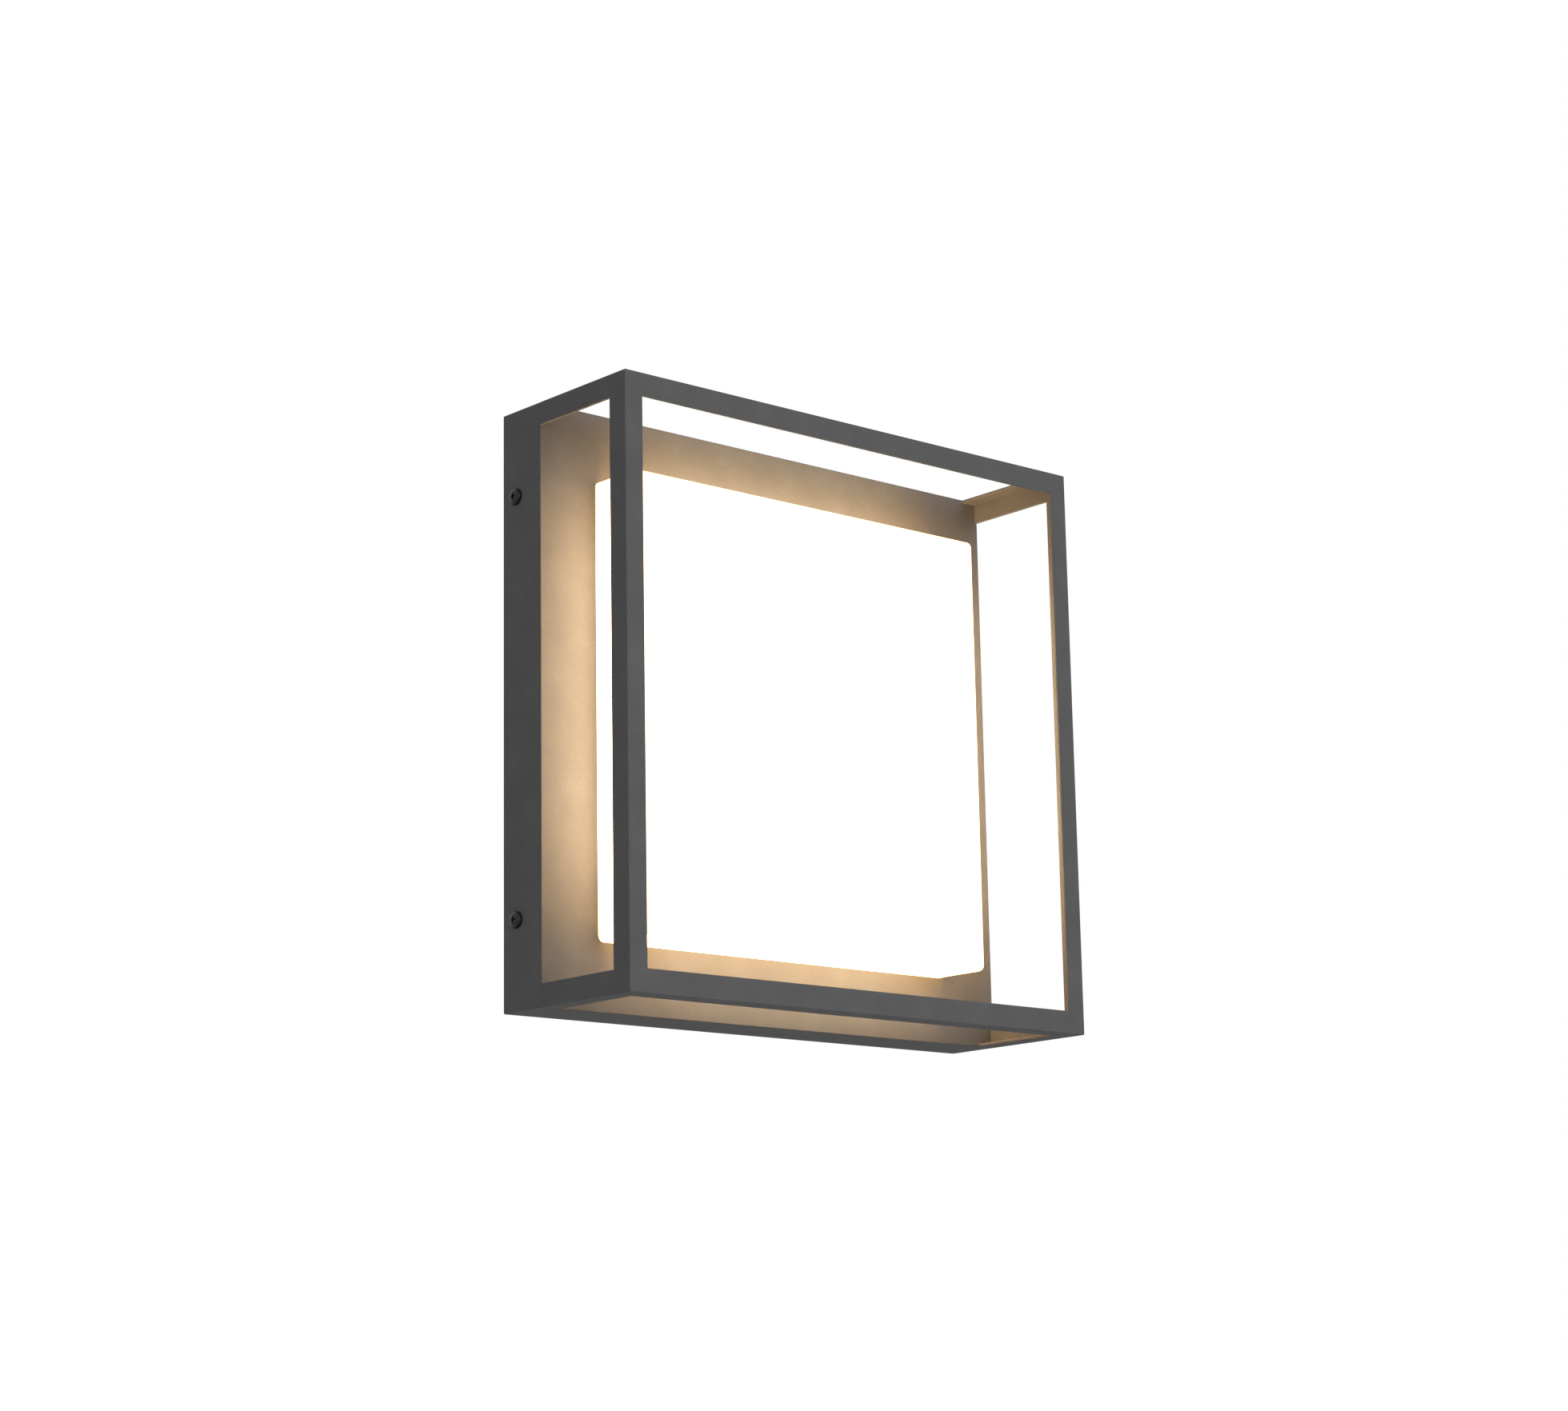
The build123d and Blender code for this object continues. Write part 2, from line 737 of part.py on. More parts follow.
pieces = {
    "wall_bracket": wall_bracket(),
    "bracket_earth_screw": bracket_earth_screw(),
    "housing_tray": housing_tray(),
    "corner_bar_top_left": corner_bar(-1, 1),
    "corner_bar_top_right": corner_bar(1, 1),
    "corner_bar_bottom_left": corner_bar(-1, -1),
    "corner_bar_bottom_right": corner_bar(1, -1),
    "front_post_left": front_post(-1),
    "front_post_right": front_post(1),
    "front_rail_top": front_rail(1),
    "front_rail_bottom": front_rail(-1),
    "diffuser": diffuser(),
    "diffuser_gasket": diffuser_gasket(),
    "pan_studs": pan_studs(),
    "pan_nuts": pan_nuts(),
    "gear_pan": gear_pan(),
    "led_board": led_board(),
    "led_chips": led_chips(),
    "board_screws": board_screws(),
    "board_connector": board_connector(),
    "led_driver": led_driver(),
    "driver_screws": driver_screws(),
    "terminal_block": terminal_block(),
    "terminal_inserts": terminal_inserts(),
    "terminal_clamp_screws": terminal_clamp_screws(),
    "terminal_fixing_screw": terminal_fixing_screw(),
    "earth_tag": earth_tag(),
    "earth_screw": earth_screw(),
    "live_lead": live_lead(),
    "neutral_lead": neutral_lead(),
    "earth_lead": earth_lead(),
    "led_lead_positive": led_lead_positive(),
    "led_lead_negative": led_lead_negative(),
    "rear_cover": rear_cover(),
    "cover_gasket": cover_gasket(),
    "cover_screws": cover_screws(),
    "cable_grommet": cable_grommet(),
    "side_screws": side_screws(),
    "side_nuts": side_nuts(),
}

for name, shape in pieces.items():
    export_step(shape, f"parts/{name}.step")
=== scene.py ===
import bmesh
import bpy
import json
import math
from mathutils import Matrix, Vector

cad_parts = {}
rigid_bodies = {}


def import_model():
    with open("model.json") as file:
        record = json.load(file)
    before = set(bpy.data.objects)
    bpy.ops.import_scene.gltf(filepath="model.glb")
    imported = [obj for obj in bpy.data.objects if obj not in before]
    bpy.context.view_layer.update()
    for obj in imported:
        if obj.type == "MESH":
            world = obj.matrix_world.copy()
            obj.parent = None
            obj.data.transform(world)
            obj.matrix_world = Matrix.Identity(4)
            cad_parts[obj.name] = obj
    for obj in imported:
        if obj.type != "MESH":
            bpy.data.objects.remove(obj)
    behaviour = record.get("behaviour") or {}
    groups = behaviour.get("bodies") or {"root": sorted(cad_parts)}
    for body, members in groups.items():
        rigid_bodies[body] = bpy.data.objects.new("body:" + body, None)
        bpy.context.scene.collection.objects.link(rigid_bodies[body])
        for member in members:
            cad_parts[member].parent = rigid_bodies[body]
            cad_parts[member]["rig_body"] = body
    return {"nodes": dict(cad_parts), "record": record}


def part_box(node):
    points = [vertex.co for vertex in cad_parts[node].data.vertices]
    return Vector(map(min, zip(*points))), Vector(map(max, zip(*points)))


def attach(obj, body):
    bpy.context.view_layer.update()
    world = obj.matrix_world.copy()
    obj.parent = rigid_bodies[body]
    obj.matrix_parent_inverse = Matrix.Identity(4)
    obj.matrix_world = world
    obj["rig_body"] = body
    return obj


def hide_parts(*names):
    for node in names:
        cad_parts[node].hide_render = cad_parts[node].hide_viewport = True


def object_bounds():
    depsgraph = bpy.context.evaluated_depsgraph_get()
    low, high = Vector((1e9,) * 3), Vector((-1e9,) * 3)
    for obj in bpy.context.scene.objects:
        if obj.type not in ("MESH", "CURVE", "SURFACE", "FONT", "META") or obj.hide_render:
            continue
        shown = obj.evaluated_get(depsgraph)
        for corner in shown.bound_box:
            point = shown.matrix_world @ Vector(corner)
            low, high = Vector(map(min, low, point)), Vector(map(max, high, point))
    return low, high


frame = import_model()
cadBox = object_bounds()
nodes = frame["nodes"]
slotOf = {row["node"]: row["material_slot"] for row in frame["record"]["subparts"]}
mm = 0.001
near = 0.01 * mm          # places closer than this are the same place when edges or faces are chosen
merged = 0.001 * mm       # points closer than this are one point
inPlane = 0.0001 * mm     # points closer than this to a cutting plane lie in it
squareOn = 0.9            # a face whose normal lies this far along an axis faces that way
print("frame loaded:", len(nodes), "nodes")

# X is the width, Z the height, and the light stands out of the wall towards -Y.


# Colour and shader helpers

def hexColour(code):
    # sRGB hex to the linear colour that the shaders take
    parts = [int(code[i:i + 2], 16) / 255 for i in (1, 3, 5)]
    return [p / 12.92 if p <= 0.04045 else ((p + 0.055) / 1.055) ** 2.4 for p in parts] + [1.0]


def addNode(tree, kind, inputs=None, **settings):
    # one shader node with its settings; an input is a value, or a socket to link from
    made = tree.nodes.new("ShaderNode" + kind)
    for name, value in settings.items():
        setattr(made, name, value)
    for name, value in (inputs or {}).items():
        if isinstance(value, bpy.types.NodeSocket):
            tree.links.new(value, made.inputs[name])
        else:
            made.inputs[name].default_value = value
    return made


def startMaterial(name, surface):
    # a Principled material with its even values set on the shader itself
    made = bpy.data.materials.new(name)
    made.use_nodes = True
    shader = made.node_tree.nodes["Principled BSDF"]
    for socket, value in surface.items():
        shader.inputs[socket].default_value = value
    return made, made.node_tree, shader


def perMetre(sizeMm):
    # texture scale for features of a real size
    return 1 / (sizeMm * mm)


def blendColours(tree, factor, stops, blend="LINEAR"):
    # colour ramp from (place, hex) pairs
    ramp = addNode(tree, "ValToRGB", {"Fac": factor})
    band = ramp.color_ramp
    band.interpolation = blend
    while len(band.elements) < len(stops):
        band.elements.new(1.0)
    for element, (place, code) in zip(band.elements, stops):
        element.position = place
        element.color = hexColour(code)
    return ramp.outputs["Color"]


def spread(tree, value, low, high):
    # maps a 0 to 1 pattern onto a range
    mapped = addNode(tree, "MapRange", {"Value": value, "To Min": low, "To Max": high})
    return mapped.outputs["Result"]


def relief(tree, shader, layers):
    # stacks bumps of (height pattern, depth in mm) on the shader's normal
    normal = None
    for height, depthMm in layers:
        inputs = {"Height": height, "Distance": depthMm * mm, "Strength": 1.0}
        if normal:
            inputs["Normal"] = normal
        normal = addNode(tree, "Bump", inputs).outputs["Normal"]
    tree.links.new(normal, shader.inputs["Normal"])


# Materials, each named for what the real one is

def powderCoatedAluminium():
    # polyester powder, sprayed and baked: matt anthracite with a fine pebbled grain and a slow ripple
    setting = {
        "colours": [(0.30, "#545455"), (0.55, "#5b5b5c"), (0.80, "#656566")],
        "grainMm": 0.9,      # real grain is about 0.3 mm, drawn coarser so that it shows
        "mottleMm": 14.0, "rippleMm": 5.0,
        "roughness": (0.76, 0.90), "grainDepth": 0.012, "rippleDepth": 0.006, "gloss": 0.25,
    }
    material, tree, shader = startMaterial(
        "powderCoatedAluminium", {"IOR": 1.5, "Specular IOR Level": setting["gloss"]})
    place = addNode(tree, "TexCoord").outputs["Object"]
    grain = addNode(tree, "TexNoise", {
        "Vector": place, "Scale": perMetre(setting["grainMm"]), "Detail": 3.0, "Roughness": 0.55})
    mottle = addNode(tree, "TexNoise", {
        "Vector": place, "Scale": perMetre(setting["mottleMm"]), "Detail": 4.0, "Roughness": 0.6})
    ripple = addNode(tree, "TexNoise", {
        "Vector": place, "Scale": perMetre(setting["rippleMm"]), "Detail": 1.0})
    both = addNode(tree, "Mix", {
        "Factor": 0.5, "A": grain.outputs["Fac"], "B": mottle.outputs["Fac"]}).outputs["Result"]
    tree.links.new(blendColours(tree, both, setting["colours"]), shader.inputs["Base Color"])
    tree.links.new(spread(tree, grain.outputs["Fac"], *setting["roughness"]), shader.inputs["Roughness"])
    relief(tree, shader, [
        (ripple.outputs["Fac"], setting["rippleDepth"]), (grain.outputs["Fac"], setting["grainDepth"])])
    return material


def opalAcrylic(name, lit):
    # opal acrylic: milky and satin, and where it is lit, warm white chips make it glow from inside;
    # the walls glow least at the plate and most at the front, and fade and warm towards the corners,
    # and the front has the denser skin, so it glows evenly and far less than the walls
    setting = {
        "colours": [(0.35, "#efece4"), (0.65, "#f5f3ed")], "cloudMm": 22.0,
        "roughness": (0.24, 0.32), "light": [(0.0, "#ffd49c"), (1.0, "#ffc67c")],
        "sideWalls": {"back": 7.0, "front": 60.0, "rise": 2.1, "corner": 0.5},
        "endWalls": {"back": 13.5, "front": 24.0, "rise": 1.7, "corner": 0.6},
        "cornerFrom": 50 * mm, "cornerTo": 96 * mm, "frontGlow": 2.5,
        # the walls' glow gives way to the front's between these two, as the Y of a face's normal
        "wallEnds": -0.03, "frontStarts": -0.2,
        "skinMm": 1.2, "skinDepth": 0.004,
    }
    material, tree, shader = startMaterial(name, {"IOR": 1.49, "Emission Strength": 0.0})
    place = addNode(tree, "TexCoord").outputs["Object"]
    if lit:
        spot = addNode(tree, "SeparateXYZ", {"Vector": place}).outputs
        along = addNode(tree, "MapRange", {
            "Value": spot["Y"], "From Min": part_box("housing_tray")[0].y, "From Max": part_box("diffuser")[0].y})
        across, up = (
            addNode(tree, "Math", {0: spot[axis]}, operation="ABSOLUTE").outputs["Value"] for axis in "XZ")
        fromMiddle = addNode(tree, "Math", {0: across, 1: up}, operation="MINIMUM")
        nearCorner = addNode(tree, "MapRange", {
            "Value": fromMiddle.outputs["Value"], "From Min": setting["cornerFrom"],
            "From Max": setting["cornerTo"]}, interpolation_type="SMOOTHSTEP").outputs["Result"]
        tree.links.new(blendColours(tree, nearCorner, setting["light"]), shader.inputs["Emission Color"])

        def wallGlow(wall):
            rise = addNode(tree, "Math", {0: along.outputs["Result"], 1: wall["rise"]}, operation="POWER")
            strength = spread(tree, rise.outputs["Value"], wall["back"], wall["front"])
            fade = spread(tree, nearCorner, 1.0, wall["corner"])
            return addNode(tree, "Math", {0: strength, 1: fade}, operation="MULTIPLY").outputs["Value"]

        onSide = addNode(tree, "Math", {0: across, 1: up}, operation="GREATER_THAN").outputs["Value"]
        walls = addNode(tree, "Mix", {
            "Factor": onSide, "A": wallGlow(setting["endWalls"]), "B": wallGlow(setting["sideWalls"])})
        facing = addNode(tree, "SeparateXYZ", {"Vector": addNode(tree, "NewGeometry").outputs["Normal"]})
        front = addNode(tree, "MapRange", {
            "Value": facing.outputs["Y"], "From Min": setting["wallEnds"], "From Max": setting["frontStarts"],
            "To Min": walls.outputs["Result"], "To Max": setting["frontGlow"]})
        tree.links.new(front.outputs["Result"], shader.inputs["Emission Strength"])
    cloud = addNode(tree, "TexNoise", {"Vector": place, "Scale": perMetre(setting["cloudMm"]), "Detail": 3.0})
    skin = addNode(tree, "TexNoise", {"Vector": place, "Scale": perMetre(setting["skinMm"]), "Detail": 2.0})
    tree.links.new(
        blendColours(tree, cloud.outputs["Fac"], setting["colours"]), shader.inputs["Base Color"])
    tree.links.new(spread(tree, skin.outputs["Fac"], *setting["roughness"]), shader.inputs["Roughness"])
    relief(tree, shader, [(skin.outputs["Fac"], setting["skinDepth"])])
    return material


def mouldedRubber():
    # EPDM, moulded: matt near-black with a faint bloom
    setting = {
        "colours": [(0.35, "#171717"), (0.75, "#232322")], "bloomMm": 3.0, "grainMm": 0.4,
        "roughness": (0.68, 0.85), "grainDepth": 0.02,
    }
    material, tree, shader = startMaterial("mouldedRubber", {"IOR": 1.5})
    place = addNode(tree, "TexCoord").outputs["Object"]
    bloom = addNode(tree, "TexNoise", {"Vector": place, "Scale": perMetre(setting["bloomMm"]), "Detail": 5.0})
    grain = addNode(tree, "TexNoise", {"Vector": place, "Scale": perMetre(setting["grainMm"]), "Detail": 2.0})
    tree.links.new(
        blendColours(tree, bloom.outputs["Fac"], setting["colours"]), shader.inputs["Base Color"])
    tree.links.new(spread(tree, bloom.outputs["Fac"], *setting["roughness"]), shader.inputs["Roughness"])
    relief(tree, shader, [(grain.outputs["Fac"], setting["grainDepth"])])
    return material


def galvanisedSteel():
    # hot-dip zinc: flat crystals a few mm across, each feathered its own way, with a dull sheen
    setting = {
        "colours": [(0.15, "#a2a7a9"), (0.5, "#afb3b5"), (0.85, "#bbbfc0")], "crystalMm": 5.5,
        "bendMm": 9.0, "bendBy": 2.5 * mm, "featherMm": 0.7, "featherStretch": 0.16, "featherShare": 0.5,
        "frostMm": 0.5, "roughness": (0.36, 0.48), "frostDepth": 0.005, "featherDepth": 0.004,
    }
    material, tree, shader = startMaterial("galvanisedSteel", {"Metallic": 1.0})
    place = addNode(tree, "TexCoord").outputs["Object"]
    bent = addNode(tree, "TexNoise", {"Vector": place, "Scale": perMetre(setting["bendMm"]), "Detail": 2.0})
    shifted = addNode(tree, "VectorMath", {
        0: bent.outputs["Color"], "Scale": setting["bendBy"]}, operation="SCALE")
    moved = addNode(tree, "VectorMath", {0: place, 1: shifted.outputs["Vector"]}, operation="ADD")
    crystal = addNode(tree, "TexVoronoi", {
        "Vector": moved.outputs["Vector"], "Scale": perMetre(setting["crystalMm"])})
    own = addNode(tree, "SeparateColor", {"Color": crystal.outputs["Color"]}).outputs
    angle = addNode(tree, "Math", {0: own["Blue"], 1: 2 * math.pi}, operation="MULTIPLY")
    turned = addNode(tree, "VectorRotate", {
        "Vector": place, "Angle": angle.outputs["Value"]}, rotation_type="Y_AXIS")
    drawn = addNode(tree, "Mapping", {
        "Vector": turned.outputs["Vector"], "Scale": (1.0, 1.0, setting["featherStretch"])})
    feather = addNode(tree, "TexNoise", {
        "Vector": drawn.outputs["Vector"], "Scale": perMetre(setting["featherMm"]), "Detail": 2.0})
    shade = addNode(tree, "Mix", {
        "Factor": setting["featherShare"], "A": own["Red"], "B": feather.outputs["Fac"]})
    frost = addNode(tree, "TexNoise", {"Vector": place, "Scale": perMetre(setting["frostMm"]), "Detail": 3.0})
    tree.links.new(
        blendColours(tree, shade.outputs["Result"], setting["colours"]), shader.inputs["Base Color"])
    tree.links.new(
        spread(tree, shade.outputs["Result"], *setting["roughness"]), shader.inputs["Roughness"])
    relief(tree, shader, [
        (feather.outputs["Fac"], setting["featherDepth"]), (frost.outputs["Fac"], setting["frostDepth"])])
    return material


def platedSteel(name, colours, metallic, roughness):
    # turned steel, plated: fine tool marks under a thin even coat
    setting = {"wearMm": 1.5, "markMm": 0.25, "markDepth": 0.004}
    material, tree, shader = startMaterial(name, {"Metallic": metallic})
    place = addNode(tree, "TexCoord").outputs["Object"]
    wear = addNode(tree, "TexNoise", {"Vector": place, "Scale": perMetre(setting["wearMm"]), "Detail": 4.0})
    mark = addNode(tree, "TexNoise", {"Vector": place, "Scale": perMetre(setting["markMm"]), "Detail": 2.0})
    tree.links.new(blendColours(tree, wear.outputs["Fac"], colours), shader.inputs["Base Color"])
    tree.links.new(spread(tree, wear.outputs["Fac"], *roughness), shader.inputs["Roughness"])
    relief(tree, shader, [(mark.outputs["Fac"], setting["markDepth"])])
    return material


def dieCastAluminium():
    # cast in a steel die: grey satin skin with soft flow marks and a fine grain
    setting = {
        "colours": [(0.30, "#9c9ea0"), (0.60, "#acaeb0"), (0.85, "#b9bbbc")], "flowMm": 18.0, "grainMm": 0.6,
        "roughness": (0.38, 0.56), "flowDepth": 0.03, "grainDepth": 0.012,
    }
    material, tree, shader = startMaterial("dieCastAluminium", {"Metallic": 1.0})
    place = addNode(tree, "TexCoord").outputs["Object"]
    flow = addNode(tree, "TexNoise", {
        "Vector": place, "Scale": perMetre(setting["flowMm"]), "Detail": 4.0, "Distortion": 1.2})
    grain = addNode(tree, "TexNoise", {"Vector": place, "Scale": perMetre(setting["grainMm"]), "Detail": 3.0})
    tree.links.new(blendColours(tree, flow.outputs["Fac"], setting["colours"]), shader.inputs["Base Color"])
    tree.links.new(spread(tree, grain.outputs["Fac"], *setting["roughness"]), shader.inputs["Roughness"])
    relief(tree, shader, [
        (flow.outputs["Fac"], setting["flowDepth"]), (grain.outputs["Fac"], setting["grainDepth"])])
    return material


def rolledAluminium():
    # mill-finish sheet: fine rolling lines along the height
    setting = {
        "colours": [(0.30, "#b4b6b8"), (0.70, "#c6c8c9")], "lineMm": 0.5, "lineStretch": 0.02,
        "smudgeMm": 30.0, "roughness": (0.26, 0.42), "lineDepth": 0.005,
    }
    material, tree, shader = startMaterial("rolledAluminium", {"Metallic": 1.0})
    place = addNode(tree, "TexCoord").outputs["Object"]
    drawn = addNode(tree, "Mapping", {"Vector": place, "Scale": (1.0, 1.0, setting["lineStretch"])})
    line = addNode(tree, "TexNoise", {
        "Vector": drawn.outputs["Vector"], "Scale": perMetre(setting["lineMm"]), "Detail": 3.0})
    smudge = addNode(tree, "TexNoise", {
        "Vector": place, "Scale": perMetre(setting["smudgeMm"]), "Detail": 4.0})
    tree.links.new(blendColours(tree, line.outputs["Fac"], setting["colours"]), shader.inputs["Base Color"])
    tree.links.new(spread(tree, smudge.outputs["Fac"], *setting["roughness"]), shader.inputs["Roughness"])
    relief(tree, shader, [(line.outputs["Fac"], setting["lineDepth"])])
    return material


def mouldedPlastic(name, dark, pale, roughness=(0.35, 0.5)):
    # injection-moulded nylon, polycarbonate or PVC: an even colour under a fine sparked grain
    setting = {"cloudMm": 6.0, "grainMm": 0.35, "grainDepth": 0.008}
    material, tree, shader = startMaterial(name, {"IOR": 1.53})
    place = addNode(tree, "TexCoord").outputs["Object"]
    cloud = addNode(tree, "TexNoise", {"Vector": place, "Scale": perMetre(setting["cloudMm"]), "Detail": 3.0})
    grain = addNode(tree, "TexNoise", {"Vector": place, "Scale": perMetre(setting["grainMm"]), "Detail": 2.0})
    colours = [(0.35, dark), (0.65, pale)]
    tree.links.new(blendColours(tree, cloud.outputs["Fac"], colours), shader.inputs["Base Color"])
    tree.links.new(spread(tree, grain.outputs["Fac"], *roughness), shader.inputs["Roughness"])
    relief(tree, shader, [(grain.outputs["Fac"], setting["grainDepth"])])
    return material


def stripedInsulation():
    # green PVC with slanted yellow stripes across the lead
    setting = {
        "colours": [(0.0, "#2f7d32"), (0.5, "#d8c62a")], "stripeMm": 5.0, "roughness": 0.4,
        "wavePeriod": math.pi / 5,      # how far apart the waves of a wave texture are at a scale of 1
    }
    material, tree, shader = startMaterial(
        "greenYellowPvc", {"IOR": 1.53, "Roughness": setting["roughness"]})
    place = addNode(tree, "TexCoord").outputs["Object"]
    stripe = addNode(tree, "TexWave", {
        "Vector": place, "Scale": perMetre(setting["stripeMm"]) * setting["wavePeriod"], "Distortion": 0.0},
        bands_direction="DIAGONAL")
    colour = blendColours(tree, stripe.outputs["Fac"], setting["colours"], "CONSTANT")
    tree.links.new(colour, shader.inputs["Base Color"])
    return material


def solderMask():
    # white lacquer over an aluminium-backed board: satin, with the copper tracks just raised under it
    setting = {
        "colours": [(0.45, "#e2e3e0"), (0.55, "#eeeeec")], "trackMm": 9.0, "trackDepth": 0.05,
        "roughness": (0.28, 0.40),
    }
    material, tree, shader = startMaterial("whiteSolderMask", {"IOR": 1.5})
    place = addNode(tree, "TexCoord").outputs["Object"]
    track = addNode(tree, "TexBrick", {
        "Vector": place, "Scale": perMetre(setting["trackMm"]), "Color1": (1, 1, 1, 1),
        "Color2": (0.8, 0.8, 0.8, 1), "Mortar": (0, 0, 0, 1), "Mortar Size": 0.03})
    height = addNode(tree, "RGBToBW", {"Color": track.outputs["Color"]}).outputs["Val"]
    tree.links.new(blendColours(tree, height, setting["colours"]), shader.inputs["Base Color"])
    tree.links.new(spread(tree, height, *setting["roughness"]), shader.inputs["Roughness"])
    relief(tree, shader, [(height, setting["trackDepth"])])
    return material


coat = powderCoatedAluminium()
litAcrylic = opalAcrylic("opalAcrylicLit", True)
dullAcrylic = opalAcrylic("opalAcrylicFlange", False)
steelGreys = [(0.30, "#a3a7a9"), (0.70, "#c3c6c7")]
materialOf = {
    "powder_coat": coat,
    "opal_acrylic": litAcrylic,
    "black_rubber": mouldedRubber(),
    "galvanised_steel": galvanisedSteel(),
    "zinc_plated_steel": platedSteel("zincPlatedSteel", steelGreys, 1.0, (0.24, 0.38)),
    "black_screw": platedSteel("blackOxideSteel", [(0.30, "#1b1b1c"), (0.70, "#29292a")], 0.6, (0.34, 0.5)),
    "cast_aluminium": dieCastAluminium(),
    "sheet_aluminium": rolledAluminium(),
    "white_board": solderMask(),
    "led_phosphor": mouldedPlastic("siliconePhosphor", "#e2b73a", "#f0cc5c", (0.2, 0.3)),
    "white_nylon": mouldedPlastic("whiteNylon", "#d6d6d3", "#e3e3e0"),
    "natural_nylon": mouldedPlastic("naturalNylon", "#d3cdb8", "#dfdac8"),
    "brass_insert": platedSteel("turnedBrass", [(0.30, "#b08d3e"), (0.70, "#d0ad5c")], 1.0, (0.22, 0.36)),
    "brown_insulation": mouldedPlastic("brownPvc", "#5a3521", "#66402a"),
    "blue_insulation": mouldedPlastic("bluePvc", "#2a5fa5", "#346db4"),
    "green_yellow_insulation": stripedInsulation(),
    "red_insulation": mouldedPlastic("redPvc", "#a8241e", "#b83029"),
    "black_insulation": mouldedPlastic("blackPvc", "#1c1c1d", "#262627"),
}
print("materials made:", len(bpy.data.materials))


# Mesh helpers

def newPiece(name, shape, material):
    # mesh object from a bmesh, at the origin
    mesh = bpy.data.meshes.new(name)
    shape.to_mesh(mesh)
    shape.free()
    mesh.materials.append(material)
    piece = bpy.data.objects.new(name, mesh)
    bpy.context.scene.collection.objects.link(piece)
    return piece


def settle(piece):
    # takes the result of a piece's modifiers as its mesh
    ready = piece.evaluated_get(bpy.context.evaluated_depsgraph_get())
    done = bpy.data.meshes.new_from_object(ready)
    piece.modifiers.clear()
    piece.data = done
    return piece


def asShape(piece):
    # a finished mesh as a bmesh again, and its object gone
    shape = bmesh.new()
    shape.from_mesh(piece.data)
    bpy.data.objects.remove(piece)
    return shape


def finish(piece, *names):
    # smooth shading that keeps the flats flat, and the CAD nodes that the piece stands for
    crisp = math.radians(28)      # less than the 30 degrees between the facets of a small rounded edge
    piece.data.shade_smooth()
    piece.data.set_sharp_from_angle(angle=crisp)
    flats = piece.modifiers.new("flats", "WEIGHTED_NORMAL")
    flats.keep_sharp = True
    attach(piece, nodes[names[0]]["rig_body"])
    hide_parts(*names)
    return piece


def outerEdges(shape, angle=math.radians(30), keep=lambda edge: True):
    # convex edges that show, for bevelling
    return [
        e for e in shape.edges
        if len(e.link_faces) == 2 and e.is_convex and e.calc_face_angle(0) > angle and keep(e)
    ]


def bevelEdges(shape, edges, offset, segments):
    bmesh.ops.bevel(
        shape, geom=edges, offset=offset, offset_type="OFFSET", segments=segments, profile=0.5,
        affect="EDGES", material=-1, clamp_overlap=True)


def thickened(shape, name, material, wall):
    # a wall of even thickness, inwards from an open shell
    piece = newPiece(name, shape, material)
    skin = piece.modifiers.new("wall", "SOLIDIFY")
    skin.thickness = wall
    skin.offset = -1.0
    skin.use_even_offset = True
    skin.use_quality_normals = True
    return asShape(settle(piece))


def roundedLoop(shape, width, height, corner, y, segments=8):
    # closed outline with round corners, square to the depth
    made = bmesh.ops.create_grid(shape, x_segments=1, y_segments=1, size=0.5)["verts"]
    bmesh.ops.scale(shape, vec=(width, height, 1), verts=made)
    bmesh.ops.rotate(shape, cent=(0, 0, 0), matrix=Matrix.Rotation(math.pi / 2, 3, "X"), verts=made)
    bmesh.ops.translate(shape, vec=(0, y, 0), verts=made)
    before = set(shape.edges) - {e for v in made for e in v.link_edges}
    bmesh.ops.bevel(
        shape, geom=made, offset=corner, offset_type="OFFSET", segments=segments, profile=0.5,
        affect="VERTICES", material=-1)
    loop = [e for e in shape.edges if e not in before]
    face = [f for f in shape.faces if all(e in loop for e in f.edges)]
    bmesh.ops.delete(shape, geom=face, context="FACES_ONLY")
    return loop


def boxShell(low, high):
    # box with its back left open
    shape = bmesh.new()
    made = bmesh.ops.create_cube(shape, size=1)["verts"]
    bmesh.ops.scale(shape, vec=high - low, verts=made)
    bmesh.ops.translate(shape, vec=(low + high) / 2, verts=made)
    back = [f for f in shape.faces if f.normal.y > squareOn]
    bmesh.ops.delete(shape, geom=back, context="FACES")
    return shape


def split(shape, point, normal, clear=False):
    # cuts through everything in a plane, and takes away the side that the normal points to if asked
    everything = shape.verts[:] + shape.edges[:] + shape.faces[:]
    bmesh.ops.bisect_plane(
        shape, geom=everything, dist=inPlane, plane_co=point, plane_no=normal, clear_outer=clear)
    if clear:
        across = Vector(normal).normalized()
        flush = [
            f for f in shape.faces if all(abs((v.co - Vector(point)).dot(across)) < merged for v in f.verts)]
        bmesh.ops.delete(shape, geom=flush, context="FACES")
        bmesh.ops.holes_fill(shape, edges=[e for e in shape.edges if e.is_boundary], sides=0)


# Housing tray: folded sheet, with a rounded cut-out for the diffuser

trayLow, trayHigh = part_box("housing_tray")
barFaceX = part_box("front_post_left")[1].x - trayLow.x
barFaceZ = trayHigh.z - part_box("front_rail_top")[0].z


